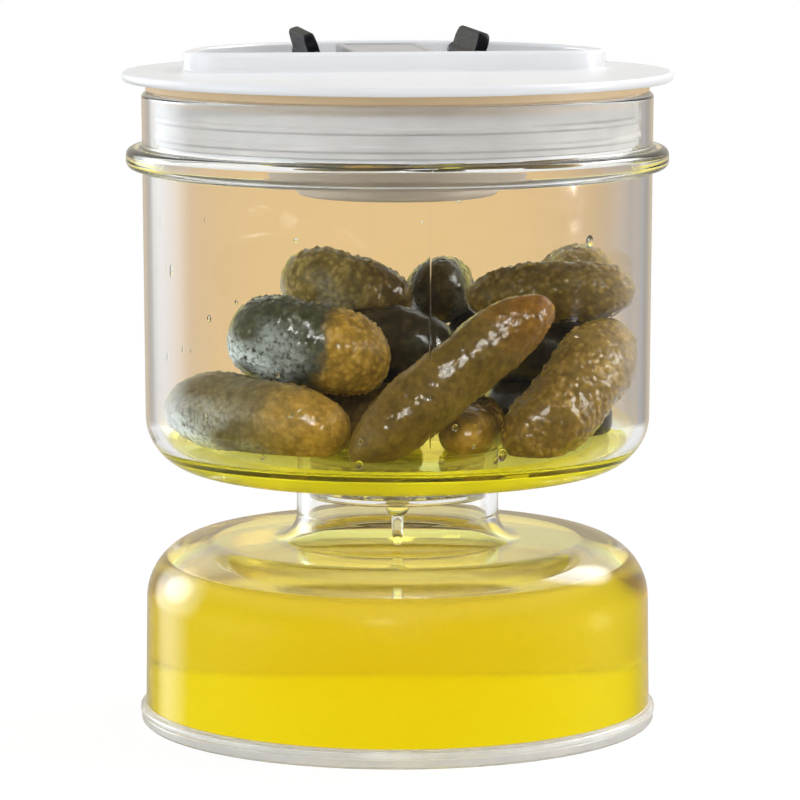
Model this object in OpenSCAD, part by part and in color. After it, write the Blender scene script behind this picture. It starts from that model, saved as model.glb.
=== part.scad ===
// Hourglass pickle jar: a clear upper jar plugged into the neck of a clear lower jar.
// Origin at the centre of the underside, Z up, the lid's straight tray wall towards -Y. Millimetres.

/* [Upper jar] */
// outside diameter at the mouth
jar_d = 104; // [96:1:112]
// height from the underside of the upper jar to its mouth
jar_h = 77; // [73:0.5:90]
// thickness of the clear walls of both jars
jar_wall = 2.2; // [1.8:0.1:2.8]
// how much narrower the radius is at the foot of the wall
jar_draft = 0.5; // [0.2:0.1:1.2]
// outside corner radius at the bottom
jar_round = 11.2; // [8:0.2:14]
// how far the collar bead stands out from the wall
bead_out = 3.2; // [2:0.1:4]
// height of the collar bead
bead_h = 4.4; // [3:0.1:5.4]
// distance of the bead's middle below the mouth
bead_drop = 13.3; // [10:0.1:16]

/* [Neck] */
// outside diameter of the neck
neck_d = 41.4; // [38:0.2:46]
// clear height between the two jars
neck_h = 14.5; // [13:0.5:20]
// radius of the trumpet flare where the neck meets the shoulder
neck_flare = 5; // [3:0.5:6]
// how far the upper jar's spigot reaches into the neck
spigot_h = 5.8; // [5:0.1:7]
// thickness of the spigot
spigot_wall = 2.6; // [2.4:0.1:3.2]
// radial clearance between the spigot and the neck
spigot_gap = 0.3; // [0.25:0.05:0.5]
// thickness of the seal ring in the spigot's groove
ring_d = 1.48; // [1.2:0.02:1.6]
// distance of the seal ring below the upper jar
ring_drop = 2.6; // [1.6:0.1:3.4]
// width and height of the ledge that carries the strainer
ledge = 1.1; // [0.8:0.1:1.6]

/* [Lower jar] */
// outside diameter just above the foot rim
low_d = 103.8; // [96:0.2:112]
// height of the lower jar's shoulder above the table
low_h = 37.8; // [34:0.2:48]
// outside corner radius of the shoulder
low_round = 12.4; // [9:0.2:14]
// how far the foot rim stands out from the wall
foot_out = 1.1; // [0.6:0.1:2]
// height of the foot rim
foot_h = 2.2; // [1.6:0.1:3]
// thickness of the base plate's edge
base_t = 2.1; // [1.6:0.1:3]

/* [Strainer] */
// thickness of the strainer disc
strain_t = 1.4; // [1:0.1:2]
// diameter of a drain hole
drain_d = 3.2; // [2:0.1:3.6]
// diameter of the drop bulb on the drip stem
bulb_d = 5; // [4:0.1:6]

/* [Lid] */
// how far the brim reaches past the jar's wall
lid_over = 4; // [2.5:0.1:6]
// thickness of the brim
brim_t = 2; // [1.6:0.1:3]
// height of the brim above the mouth
lid_gap = 2.2; // [1.6:0.1:3]
// depth of the skirt below the brim
skirt_h = 14.5; // [11:0.5:18]
// thickness of the skirt
skirt_t = 1.8; // [1.4:0.1:2.4]
// thickness of the seal band round the skirt
seal_t = 1.7; // [1.3:0.1:2.2]
// clearance between the seal and the jar
seal_gap = 0.3; // [0.25:0.05:0.5]
// diameter of the cup hanging under the lid
cup_d = 54.6; // [46:0.2:60]
// depth of the cup below the brim
cup_h = 23.2; // [18:0.2:24]
// thickness of the cup
cup_t = 1.8; // [1.4:0.1:2.4]

/* [Tray] */
// diameter of the round back of the raised tray
tray_d = 87; // [80:0.5:92]
// height of the tray wall above the brim
tray_h = 3.9; // [3:0.1:5]
// thickness of the tray wall
tray_wall = 2.4; // [1.6:0.1:3]
// distance of the straight wall in front of the middle
tray_front = 5; // [3:0.5:8]
// corner radius of the tray
tray_round = 9; // [6:0.5:12]
// width of the plate between the tabs
mid_w = 17.4; // [12:0.2:20]

/* [Tabs] */
// distance between the two hinge pins
tab_span = 33; // [28:0.5:37]
// gap between a tab's far corner and the tray wall when it is folded
tab_clear = 1; // [0.6:0.1:8]
// reach of a tab from its pin to its free edge
tab_h = 5.4; // [4:0.1:6.4]
// thickness of a tab
tab_t = 2.4; // [1.8:0.1:2.8]
// lean of the raised tabs from upright, in degrees
tab_lean = 18; // [8:1:30]
// diameter of a hinge pin
pin_d = 1.6; // [1.2:0.1:2]
// radial running clearance on a pin
pin_gap = 0.05; // [0.02:0.01:0.1]

/* [Contents] */
// air left above the brine in the lower jar
air_h = 3.6; // [2.4:0.2:16]
// depth of the brine left on the upper jar's floor
pool_h = 3; // [2:0.1:4]
// turn of the pile of gherkins about the jar's axis, in degrees
pile_turn = -7; // [-90:1:90]

/* [Hidden] */
$fn = 96;
film = 0.05;
up_z = low_h + neck_h;
floor_z = up_z + jar_wall;
mouth_z = up_z + jar_h;
r_mouth = jar_d / 2;
r_up = r_mouth - jar_draft;
pile_r = 49.3;
blunt = 4;
seam_turn = 30;
// The gherkins as they lie on the floor of a jar with the inner radius pile_r: both tips and the thickness.
PILE = [
  [[-24.4, 16.4, 35.6], [3, 15, 29.4], 14.4],
  [[-34.2, -6, 26.6], [-1.5, -10, 19.6], 18.4],
  [[-46, -6.8, 11.2], [-10, -26, 8], 16.6],
  [[-8.8, -30.6, 2.2], [30.4, -21.4, 34.2], 13.8],
  [[7.8, 17.5, 31.7], [10.6, 41, 29.9], 14.4],
  [[14.2, 5, 32], [48.6, -3.5, 34.6], 12.4],
  [[41, 6.4, 36.6], [34.4, 28, 34], 12.8],
  [[23, -25.2, 3], [45, -5.4, 27.4], 16.2],
  [[13.6, -25, 6.5], [16.6, 10.5, 6.5], 12.6],
  [[-34, 20, 8.2], [3, 33, 8.2], 16],
  [[20.5, 28, 7.2], [42.5, 2, 7.2], 14],
  [[-32, 8, 7.6], [5, -4, 7.6], 14.9],
  [[-26, 14.4, 19.5], [12, 1, 20.3], 12.4],
  [[11, 29.5, 20.3], [45, 5, 21.2], 13]
];
pile_k = (r_up - jar_wall) / pile_r;
bead_z = mouth_z - bead_drop;
neck_r = neck_d / 2;
bore_r = neck_r - jar_wall;
neck_top = up_z - 0.3;
spigot_r = bore_r - spigot_gap;
drain_r = spigot_r - spigot_wall;
spigot_z = up_z - spigot_h;
groove_z = up_z - ring_drop;
r_foot = low_d / 2;
r_low = r_foot - jar_draft;
foot_r = r_foot + foot_out;
step_z = base_t + 1.5;
brine_z = low_h - jar_wall - air_h;
strain_r = drain_r - 0.2;
drain_in = strain_r - drain_d / 2 - 2;
strain_z = spigot_z + ledge;
stem_z = brine_z + 2;
brim_z = mouth_z + lid_gap;
lid_z = brim_z + brim_t;
lid_r = r_mouth + lid_over;
seal_r = r_mouth - jar_wall - seal_gap;
skirt_r = seal_r - seal_t;
skirt_z = brim_z - skirt_h;
cup_r = cup_d / 2;
cup_z = brim_z - cup_h;
tray_r = tray_d / 2;
tray_in = tray_r - tray_wall;
tray_y = tray_wall - tray_front;
knuckle_r = pin_d / 2 + 0.9;
axis_z = lid_z + knuckle_r + 0.5;
hinge_x = tab_span / 2;
lug_t = 1.6;
lug_y0 = tray_y + 0.5;
tab_y0 = lug_y0 + lug_t + 0.3;
tab_y1 = sqrt(tray_in * tray_in - pow(hinge_x + tab_h + tab_clear, 2)) - tab_clear;
lug_y1 = tab_y1 + 0.3;
mid_y1 = sqrt(tray_in * tray_in - mid_w * mid_w / 4) - 3;

// Half profile of a cup standing on its closed end, with a rounded bottom corner.
module cup_profile(r0, r1, h, rc) {
  translate([0, rc]) polygon([[0, 0], [r0, 0], [r1, h - rc], [0, h - rc]]);
  square([r0 - rc, rc]);
  translate([r0 - rc, rc]) circle(rc);
}

// Half profile of the space inside the lower jar, shrunk by the film f.
module lower_space(f) {
  translate([0, low_h - jar_wall - f]) mirror([0, 1])
    cup_profile(r_low - jar_wall - f, r_foot - jar_wall - f, low_h - jar_wall - f, low_round - jar_wall - f);
}

// Half profile of the space inside the upper jar, shrunk by the film f.
module upper_space(f) {
  translate([0, floor_z + f])
    cup_profile(r_up - jar_wall - f, r_mouth - jar_wall - f, jar_h, jar_round - jar_wall - f);
}

// Trumpet: a solid stem of radius r flaring out to a flat face at height z.
module flare_profile(r, f, z) {
  difference() {
    translate([0, z - 1]) square([r + f, f + 1]);
    translate([r + f, z + f]) circle(f);
  }
}

// Outline of the tray: a disc cut off by a straight front, both corners rounded.
module tray_outline(r, c, rc) {
  cy = rc - c;
  cx = sqrt((r - rc) * (r - rc) - cy * cy);
  tx = cx * r / (r - rc);
  ty = cy * r / (r - rc);
  difference() {
    circle(r);
    translate([-2 * r, -c - 2 * r]) square([4 * r, 2 * r]);
    for (s = [0, 1]) mirror([s, 0]) difference() {
      polygon([[cx, cy], [cx, -c - 1], [r + 2, -c - 1], [r + 2, ty], [tx, ty]]);
      translate([cx, cy]) circle(rc);
    }
  }
}

// One gherkin from tip to tip, thickest in the middle.
module gherkin(g) {
  a = g[0];
  d = g[2];
  v = g[1] - a;
  l = norm(v);
  n = 18;
  translate(a) rotate([0, acos(v[2] / l), atan2(v[1], v[0])]) rotate([0, 0, seam_turn]) rotate_extrude()
    polygon([for (i = [0 : n]) let (s = (1 - cos(180 * i / n)) / 2)
      [d / 2 * sqrt(max(0, 1 - pow(abs(2 * s - 1), blunt))), s * l]]);
}

// Places the pile on the floor of the upper jar and sizes it with the jar.
module pile() {
  translate([0, 0, floor_z]) rotate([0, 0, pile_turn]) scale(pile_k) children();
}

// Hinge lug standing on the lid, its front face at y.
module lug(x, y) {
  translate([x, y + lug_t, lid_z]) rotate([90, 0, 0]) linear_extrude(lug_t) difference() {
    union() {
      translate([-knuckle_r, -0.4]) square([2 * knuckle_r, axis_z - lid_z + 0.4]);
      translate([0, axis_z - lid_z]) circle(knuckle_r);
    }
    translate([0, axis_z - lid_z]) circle(pin_d / 2 + pin_gap);
  }
}

// A raised tab on its pin line, leaning outwards to the side s.
module tab(s) {
  len = tab_y1 - tab_y0;
  rc = min(3, tab_h - 1);
  translate([s * hinge_x, tab_y0, axis_z]) rotate([0, s * tab_lean, 0]) difference() {
    union() {
      rotate([-90, 0, 0]) cylinder(r = knuckle_r, h = len);
      translate([-tab_t / 2, 0, 0]) cube([tab_t, len, tab_h - rc]);
      translate([-tab_t / 2, rc, 0]) cube([tab_t, len - 2 * rc, tab_h]);
      for (y = [rc, len - rc]) translate([-tab_t / 2, y, tab_h - rc]) rotate([0, 90, 0])
        cylinder(r = rc, h = tab_t);
    }
    translate([0, -1, 0]) rotate([-90, 0, 0]) cylinder(d = pin_d + 2 * pin_gap, h = len + 2);
  }
}

// A hinge pin through both lugs and the tab, on the side s.
module pin(s) {
  translate([s * hinge_x, lug_y0, axis_z]) rotate([-90, 0, 0])
    cylinder(d = pin_d, h = lug_y1 + lug_t - lug_y0);
}

module base_plate() {
  color([0.93, 0.93, 0.92]) rotate_extrude() {
    polygon([[0, 0], [foot_r - 0.8, 0], [foot_r - 0.2, 0.6], [foot_r - 0.2, base_t], [0, base_t]]);
    square([r_foot - jar_wall - 0.2, step_z]);
  }
}

module lower_jar() {
  color([0.9, 0.92, 0.92, 0.35]) rotate_extrude() difference() {
    union() {
      translate([0, low_h]) mirror([0, 1]) cup_profile(r_low, r_foot, low_h - base_t, low_round);
      translate([0, base_t]) square([foot_r, foot_h]);
      translate([0, low_h - 1]) square([neck_r, neck_top - low_h + 1]);
      flare_profile(neck_r, neck_flare, low_h);
    }
    lower_space(0);
    translate([0, low_h - jar_wall - 1]) square([bore_r, neck_h + jar_wall + 2]);
    flare_profile(bore_r, neck_flare + jar_wall, low_h - jar_wall);
  }
}

module brine_lower() {
  color([0.86, 0.72, 0.1, 0.8]) rotate_extrude() intersection() {
    lower_space(film);
    translate([0, step_z + film]) square([2 * r_foot, brine_z - step_z - film]);
  }
}

module upper_jar() {
  color([0.9, 0.92, 0.92, 0.35]) rotate_extrude() difference() {
    union() {
      translate([0, up_z]) cup_profile(r_up, r_mouth, jar_h, jar_round);
      translate([r_up - 1, bead_z - bead_h / 2]) square([bead_out + 1 - bead_h / 2 + jar_draft, bead_h]);
      translate([r_up + jar_draft + bead_out - bead_h / 2, bead_z]) circle(bead_h / 2);
      translate([0, spigot_z]) square([spigot_r, spigot_h + 1]);
    }
    upper_space(0);
    translate([0, spigot_z - 1]) square([drain_r - ledge, jar_wall + spigot_h + 2]);
    translate([0, strain_z]) square([drain_r, jar_wall + spigot_h]);
    translate([spigot_r - ring_d, groove_z - ring_d / 2]) square([2 * ring_d, ring_d]);
  }
}

module neck_seal() {
  color([0.75, 0.75, 0.74]) rotate_extrude() translate([spigot_r - ring_d / 2, groove_z]) circle(ring_d / 2 - film / 2);
}

module strainer() {
  color([0.88, 0.9, 0.88, 0.5]) {
    difference() {
      translate([0, 0, strain_z]) cylinder(r = strain_r, h = strain_t);
      for (i = [0 : 7]) rotate([0, 0, 45 * i]) translate([drain_in, 0, strain_z - 1])
        cylinder(d = drain_d, h = strain_t + 2);
      for (i = [0 : 5]) rotate([0, 0, 60 * i + 15]) translate([drain_in * 0.6, 0, strain_z - 1])
        cylinder(d = drain_d * 0.8, h = strain_t + 2);
    }
    translate([0, 0, strain_z - 3.4]) sphere(d = bulb_d);
    translate([0, 0, stem_z]) cylinder(r1 = 1, r2 = 1.6, h = strain_z - stem_z + 0.5);
  }
}

module brine_upper() {
  color([0.93, 0.86, 0.1, 0.8]) difference() {
    rotate_extrude() {
      intersection() {
        upper_space(film);
        translate([0, floor_z]) square([2 * r_up, pool_h]);
      }
      translate([0, strain_z + strain_t + film]) square([drain_r - film, floor_z + 1 - strain_z - strain_t]);
    }
    gherkin_3();
    gherkin_4();
    gherkin_8();
    gherkin_9();
    gherkin_10();
    gherkin_11();
    gherkin_12();
  }
}

module gherkin_1() color([0.36, 0.33, 0.14]) pile() gherkin(PILE[0]);
module gherkin_2() color([0.38, 0.34, 0.16]) pile() gherkin(PILE[1]);
module gherkin_3() color([0.4, 0.36, 0.16]) pile() gherkin(PILE[2]);
module gherkin_4() color([0.45, 0.37, 0.14]) pile() gherkin(PILE[3]);
module gherkin_5() color([0.26, 0.26, 0.13]) pile() gherkin(PILE[4]);
module gherkin_6() color([0.4, 0.33, 0.12]) pile() gherkin(PILE[5]);
module gherkin_7() color([0.38, 0.34, 0.16]) pile() gherkin(PILE[6]);
module gherkin_8() color([0.4, 0.33, 0.12]) pile() gherkin(PILE[7]);
module gherkin_9() color([0.45, 0.4, 0.16]) pile() gherkin(PILE[8]);
module gherkin_10() color([0.3, 0.28, 0.13]) pile() gherkin(PILE[9]);
module gherkin_11() color([0.3, 0.28, 0.13]) pile() gherkin(PILE[10]);
module gherkin_12() color([0.28, 0.27, 0.13]) pile() gherkin(PILE[11]);
module gherkin_13() color([0.28, 0.27, 0.13]) pile() gherkin(PILE[12]);
module gherkin_14() color([0.28, 0.27, 0.13]) pile() gherkin(PILE[13]);

module lid() {
  color([0.96, 0.96, 0.95]) {
    rotate_extrude() {
      translate([0, brim_z]) square([lid_r - brim_t / 2, brim_t]);
      translate([lid_r - brim_t / 2, brim_z + brim_t / 2]) circle(brim_t / 2);
      translate([skirt_r - skirt_t, skirt_z]) square([skirt_t, skirt_h + 0.5]);
    }
    translate([0, 0, lid_z - 0.4]) linear_extrude(tray_h + 0.4) difference() {
      tray_outline(tray_r, tray_front, tray_round);
      tray_outline(tray_in, tray_front - tray_wall, tray_round - tray_wall);
    }
    for (x = [-hinge_x, hinge_x]) {
      lug(x, lug_y0);
      lug(x, lug_y1);
    }
  }
}

module lid_cup() {
  color([0.9, 0.9, 0.9]) rotate_extrude() difference() {
    union() {
      translate([0, cup_z + 3]) square([cup_r, brim_z - cup_z - 3]);
      translate([0, cup_z]) square([cup_r * 0.76, 4]);
    }
    translate([0, cup_z + 3 + cup_t]) square([cup_r - cup_t, brim_z - cup_z]);
    translate([0, cup_z + cup_t]) square([cup_r * 0.76 - cup_t, 6]);
  }
}

module lid_seal() {
  color([0.8, 0.8, 0.78]) rotate_extrude() {
    translate([skirt_r, skirt_z + 2]) square([seal_t - 0.5, skirt_h - 2]);
    translate([skirt_r, mouth_z + seal_gap]) square([r_mouth - skirt_r - 0.8, lid_gap - seal_gap]);
    for (z = [3, 6.5]) translate([seal_r - 0.8, skirt_z + z + 1]) circle(0.8);
  }
}

module centre_plate() {
  color([0.75, 0.75, 0.76]) translate([0, mid_y1, lid_z]) rotate([90, 0, 0])
    linear_extrude(mid_y1 - tray_y - 0.6)
      polygon([[-mid_w / 2, 0], [mid_w / 2, 0], [mid_w / 2, tray_h - 0.9],
        [mid_w / 2 - 0.6, tray_h - 0.3], [0.6 - mid_w / 2, tray_h - 0.3], [-mid_w / 2, tray_h - 0.9]]);
}

module tab_left() color([0.06, 0.06, 0.07]) tab(-1);
module tab_right() color([0.06, 0.06, 0.07]) tab(1);
module pin_left() color([0.6, 0.6, 0.62]) pin(-1);
module pin_right() color([0.6, 0.6, 0.62]) pin(1);

base_plate();
lower_jar();
brine_lower();
upper_jar();
neck_seal();
strainer();
brine_upper();
gherkin_1();
gherkin_2();
gherkin_3();
gherkin_4();
gherkin_5();
gherkin_6();
gherkin_7();
gherkin_8();
gherkin_9();
gherkin_10();
gherkin_11();
gherkin_12();
gherkin_13();
gherkin_14();
lid();
lid_cup();
lid_seal();
centre_plate();
tab_left();
tab_right();
pin_left();
pin_right();
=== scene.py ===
"""Looks of the hourglass pickle jar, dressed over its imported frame. Metres, Z up, profiles in millimetres."""

import math
import random

import bmesh
import bpy
from mathutils import Matrix, Vector, noise


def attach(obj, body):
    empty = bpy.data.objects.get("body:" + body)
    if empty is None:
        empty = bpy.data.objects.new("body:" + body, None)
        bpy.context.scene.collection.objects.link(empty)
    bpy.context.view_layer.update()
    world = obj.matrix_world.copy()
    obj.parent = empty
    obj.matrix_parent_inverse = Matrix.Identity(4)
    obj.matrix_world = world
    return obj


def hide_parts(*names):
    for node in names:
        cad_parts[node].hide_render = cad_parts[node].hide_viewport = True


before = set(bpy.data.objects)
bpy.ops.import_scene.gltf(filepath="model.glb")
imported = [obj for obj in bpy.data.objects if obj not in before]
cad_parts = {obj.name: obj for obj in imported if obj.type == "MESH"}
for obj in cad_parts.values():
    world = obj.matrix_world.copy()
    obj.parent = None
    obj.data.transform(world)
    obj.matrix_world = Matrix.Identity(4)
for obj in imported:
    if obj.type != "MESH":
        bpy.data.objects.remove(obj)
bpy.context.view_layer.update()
MM = 0.001
TURNS = 192
ARC_STEPS = 10
BIG_ROUND = 5

# Sizes in mm, after the solids. A pair holds the radius of a drafted wall at its foot and at its top.
# Base plate and lower jar
FOOT_Z = 2.1
FOOT_R = 53
BASE_TOP = 3.6
BASE_R = 52.8
STAND_R = 45
SEAT_R = 49.8
LOW_OUT = (51.9, 51.4)
LOW_IN = (49.65, 49.2)
LOW_TOP = 37.8
LOW_ROOF = 35.6
LOW_ROUND = 12.4
NECK_R = 20.7
NECK_TOP = 52
BORE_R = 18.5
BRINE_Z = 32

# Upper jar
SPIGOT_R = 18.2
SPIGOT_Z = 46.5
LEDGE_R = 14.5
LEDGE_Z = 47.6
DRAIN_R = 15.6
GROOVE_R = 16.72
GROOVE_HALF = 0.74
RING_R = 17.46
RING_Z = 49.7
RING_HALF = 0.715
UP_Z = 52.3
FLOOR_Z = 54.5
MOUTH_Z = 129.3
UP_OUT = (51.5, 52)
UP_IN = (49.3, 49.8)
UP_ROUND = 11.2
FLOOR_ROUND = 9.0
CORNER_R = UP_IN[0] - FLOOR_ROUND
CORNER_Z = FLOOR_Z + FLOOR_ROUND
BEAD_R = 55.2
BEAD_Z = 116
BEAD_HALF = 2.2
POOL_Z = 57.5
STRAINER_R = 15.28
STRAINER_Z = 48.3
BULB_R = 2.5
BULB_Z = 44.2

# Lid, cup, seal and tray
BRIM_Z = 131.5
LID_Z = 133.5
LID_R = 56
SKIRT_IN = 46
SKIRT_R = 47.8
SKIRT_Z = 117
CUP_R = 27.3
CUP_LOW_R = 20.75
CUP_Z = 108.3
CUP_STEP_Z = 111.3
CUP_WALL = 1.8
SEAL_R = 49
SEAL_RIB_R = 49.5
SEAL_RIBS = (121, 124.5)
SEAL_TOP_R = 51.2
TRAY_R = 43.5
TRAY_FRONT = 5
TRAY_CORNER = 9
TRAY_WALL = 2.4
TRAY_TOP = 137.4
TRAY_FILLET = 1.2
PLATE_HALF = 8.7
PLATE_Y = (-2.0, 37.2)

# Tabs, pins and lugs
HINGE_X = 16.5
HINGE_Z = 135.7
PIN_R = 0.8
PIN_BORE = 0.86
PIN_Y = (-2.1, 35.0)
LUG_Y = (-2.1, 33.4)
LUG_THICK = 1.6
KNUCKLE_R = 1.7
TAB_Y = (-0.2, 33.1)
TAB_HALF = 1.2
TAB_REACH = 5.4
TAB_CORNER = 3.0
TAB_TIP_ROUND = 0.7
TAB_LEAN = 18


# Mesh helpers

def rounded(corners, closed=True):
    """Rounds a polyline of (x, y, radius) corners. A big arc may use up a whole side."""
    out = []
    count = len(corners)
    for i, (x, y, radius) in enumerate(corners):
        if radius <= 0 or (not closed and i in (0, count - 1)):
            out.append((x, y))
            continue
        p = Vector((x, y))
        a = Vector(corners[i - 1][:2]) - p
        b = Vector(corners[(i + 1) % count][:2]) - p
        room = 0.499 * min(a.length, b.length)
        if radius > BIG_ROUND:
            room = 2 * room
        a.normalize()
        b.normalize()
        half = math.acos(max(-1, min(1, a.dot(b)))) / 2
        if half > math.pi / 2 - 0.002:
            out.append((x, y))
            continue
        cut = min(radius / math.tan(half), room)
        radius = cut * math.tan(half)
        middle = p + (a + b).normalized() * (radius / math.sin(half))
        start = p + a * cut - middle
        end = p + b * cut - middle
        sweep = math.atan2(start.x * end.y - start.y * end.x, start.dot(end))
        most = ARC_STEPS * 3 if radius > BIG_ROUND else ARC_STEPS
        steps = max(2, round(abs(sweep) / (math.pi / 2) * most))
        for k in range(steps + 1):
            t = sweep * k / steps
            out.append((middle.x + start.x * math.cos(t) - start.y * math.sin(t),
                        middle.y + start.x * math.sin(t) + start.y * math.cos(t)))
    return out


def outline_normals(points, closed=True):
    """Unit normals to the right of an outline, each the length-weighted mean of its two edges."""
    count = len(points)
    edges = []
    for i in range(count):
        a = Vector(points[i])
        b = Vector(points[(i + 1) % count])
        d = b - a
        edges.append(Vector((d.y, -d.x)))
    out = []
    for i in range(count):
        before = edges[i - 1] if closed or i > 0 else edges[0]
        after = edges[i] if closed or i < count - 1 else edges[count - 2]
        n = before + after
        out.append(n.normalized() if n.length > 1e-9 else Vector((1, 0)))
    return out


def new_object(name, verts, faces, normals=None):
    """Makes a smooth mesh object from points in metres."""
    mesh = bpy.data.meshes.new(name)
    mesh.from_pydata(verts, [], faces)
    mesh.validate()
    mesh.update()
    mesh.shade_smooth()
    if normals is not None and len(normals) == len(mesh.vertices):
        mesh.normals_split_custom_set_from_vertices(normals)
    obj = bpy.data.objects.new(name, mesh)
    bpy.context.scene.collection.objects.link(obj)
    return obj


def revolve_data(points, turns=TURNS, closed=True, push=None, extra=()):
    """Turns an outline of (r, z) points in mm about Z. The outline runs with its material on the left."""
    normals2 = outline_normals(points, closed)
    angles = sorted([2 * math.pi * k / turns for k in range(turns)] + list(extra))
    verts, normals, faces, rows = [], [], [], []
    for (r, z), n in zip(points, normals2):
        if r < 1e-6:
            rows.append([len(verts)] * len(angles))
            verts.append((0, 0, z * MM))
            normals.append((0, 0, 1 if n.y >= 0 else -1))
            continue
        row = []
        for t in angles:
            c, s = math.cos(t), math.sin(t)
            grow, slope = push(r, z, n, t) if push else (0, 0)
            row.append(len(verts))
            verts.append(((r + grow) * c * MM, (r + grow) * s * MM, z * MM))
            normals.append(Vector((n.x * c + slope * s, n.x * s - slope * c, n.y)).normalized())
        rows.append(row)
    last = len(rows) if closed else len(rows) - 1
    for i in range(last):
        a, b = rows[i], rows[(i + 1) % len(rows)]
        for k in range(len(angles)):
            m = (k + 1) % len(angles)
            quad = [a[k], a[m], b[m], b[k]]
            quad = [v for j, v in enumerate(quad) if v != quad[j - 1]]
            if len(quad) > 2:
                faces.append(quad)
    return verts, faces, normals


def revolve(name, points, **kw):
    return new_object(name, *revolve_data(points, **kw))


def band_faces(loops, count, closed=True):
    """Faces between loops of count points each, the last loop joined to the first where closed."""
    faces = []
    for i in range(loops if closed else loops - 1):
        j = (i + 1) % loops
        for k in range(count):
            m = (k + 1) % count
            faces.append([i * count + k, i * count + m, j * count + m, j * count + k])
    return faces


def ball_faces(start, rings, sides, flip=False):
    """Faces of a ball whose points are a pole, rings of that many sides and the other pole."""
    def row(i):
        return start if i == 0 else start + 1 + (i - 1) * sides

    faces = []
    for i in range(rings):
        for k in range(sides):
            a, b = k, (k + 1) % sides
            if flip:
                a, b = b, a
            if i == 0:
                faces.append([start, row(1) + a, row(1) + b])
            elif i == rings - 1:
                faces.append([row(i) + b, row(i) + a, row(rings)])
            else:
                faces.append([row(i) + b, row(i) + a, row(i + 1) + a, row(i + 1) + b])
    return faces


def sweep_data(path, path_normals, points):
    """Sweeps a closed outline of (offset, z) points in mm along a closed flat path in mm."""
    verts, normals = [], []
    for (o, z), n in zip(points, outline_normals(points)):
        for p, q in zip(path, path_normals):
            verts.append(((p.x + q.x * o) * MM, (p.y + q.y * o) * MM, z * MM))
            normals.append(Vector((q.x * n.x, q.y * n.x, n.y)).normalized())
    return verts, band_faces(len(points), len(path)), normals


def joined(name, *parts):
    """One object from several (verts, faces, normals) lists."""
    verts, faces, normals = [], [], []
    for v, f, n in parts:
        start = len(verts)
        verts += list(v)
        faces += [[start + i for i in face] for face in f]
        normals += list(n)
    return new_object(name, verts, faces, normals)


def face_outward(obj, angle, weld=0):
    """Welds points that close in mm, turns faces outward and keeps edges past that angle sharp."""
    work = bmesh.new()
    work.from_mesh(obj.data)
    if weld > 0:
        bmesh.ops.remove_doubles(work, verts=work.verts, dist=weld * MM)
    bmesh.ops.recalc_face_normals(work, faces=work.faces)
    work.to_mesh(obj.data)
    work.free()
    obj.data.set_sharp_from_angle(angle=math.radians(angle))


def second_finish(obj, material, chosen):
    """Gives another material to the faces that a test of the face and its lean away from the axis picks."""
    obj.data.materials.append(material)
    for face in obj.data.polygons:
        lean = face.normal.x * face.center.x + face.normal.y * face.center.y
        if chosen(face, lean):
            face.material_index = 1


def place(obj, node, body, material):
    """Puts a piece in a node's place on its body, with its finish."""
    obj.data.materials.append(material)
    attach(obj, body)
    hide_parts(node)


# Material helpers

class Nodes:
    """A cleared node tree, and short ways to add nodes to it."""

    def __init__(self, owner):
        owner.use_nodes = True
        self.tree = owner.node_tree
        self.tree.nodes.clear()

    def link(self, a, b):
        self.tree.links.new(a, b)

    def add(self, kind, **values):
        node = self.tree.nodes.new("ShaderNode" + kind)
        for key, value in values.items():
            setattr(node, key, value)
        return node

    def feed(self, socket, value):
        """Sets a socket to a number or a colour, or links another node's output to it."""
        if isinstance(value, (int, float)):
            socket.default_value = value
        elif isinstance(value, tuple):
            socket.default_value = (*value, 1)
        else:
            self.link(value, socket)

    def math(self, op, a, b=0.0):
        node = self.add("Math", operation=op)
        self.feed(node.inputs[0], a)
        self.feed(node.inputs[1], b)
        return node.outputs[0]

    def mix(self, fac, a, b, blend="MIX"):
        node = self.add("Mix", data_type="RGBA", blend_type=blend)
        self.feed(node.inputs[0], fac)
        self.feed(node.inputs[6], a)
        self.feed(node.inputs[7], b)
        return node.outputs[2]

    def range(self, value, a, b, low=0.0, high=1.0, shape="LINEAR"):
        node = self.add("MapRange", interpolation_type=shape)
        for socket, number in zip(("From Min", "From Max", "To Min", "To Max"), (a, b, low, high)):
            node.inputs[socket].default_value = number
        self.link(value, node.inputs["Value"])
        return node.outputs[0]

    def ramp(self, value, *stops):
        node = self.add("ValToRGB")
        ramp = node.color_ramp
        while len(ramp.elements) < len(stops):
            ramp.elements.new(0.5)
        for element, (at, colour) in zip(ramp.elements, stops):
            element.position = at
            element.color = (*colour, 1)
        self.link(value, node.inputs["Fac"])
        return node.outputs["Color"]


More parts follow.
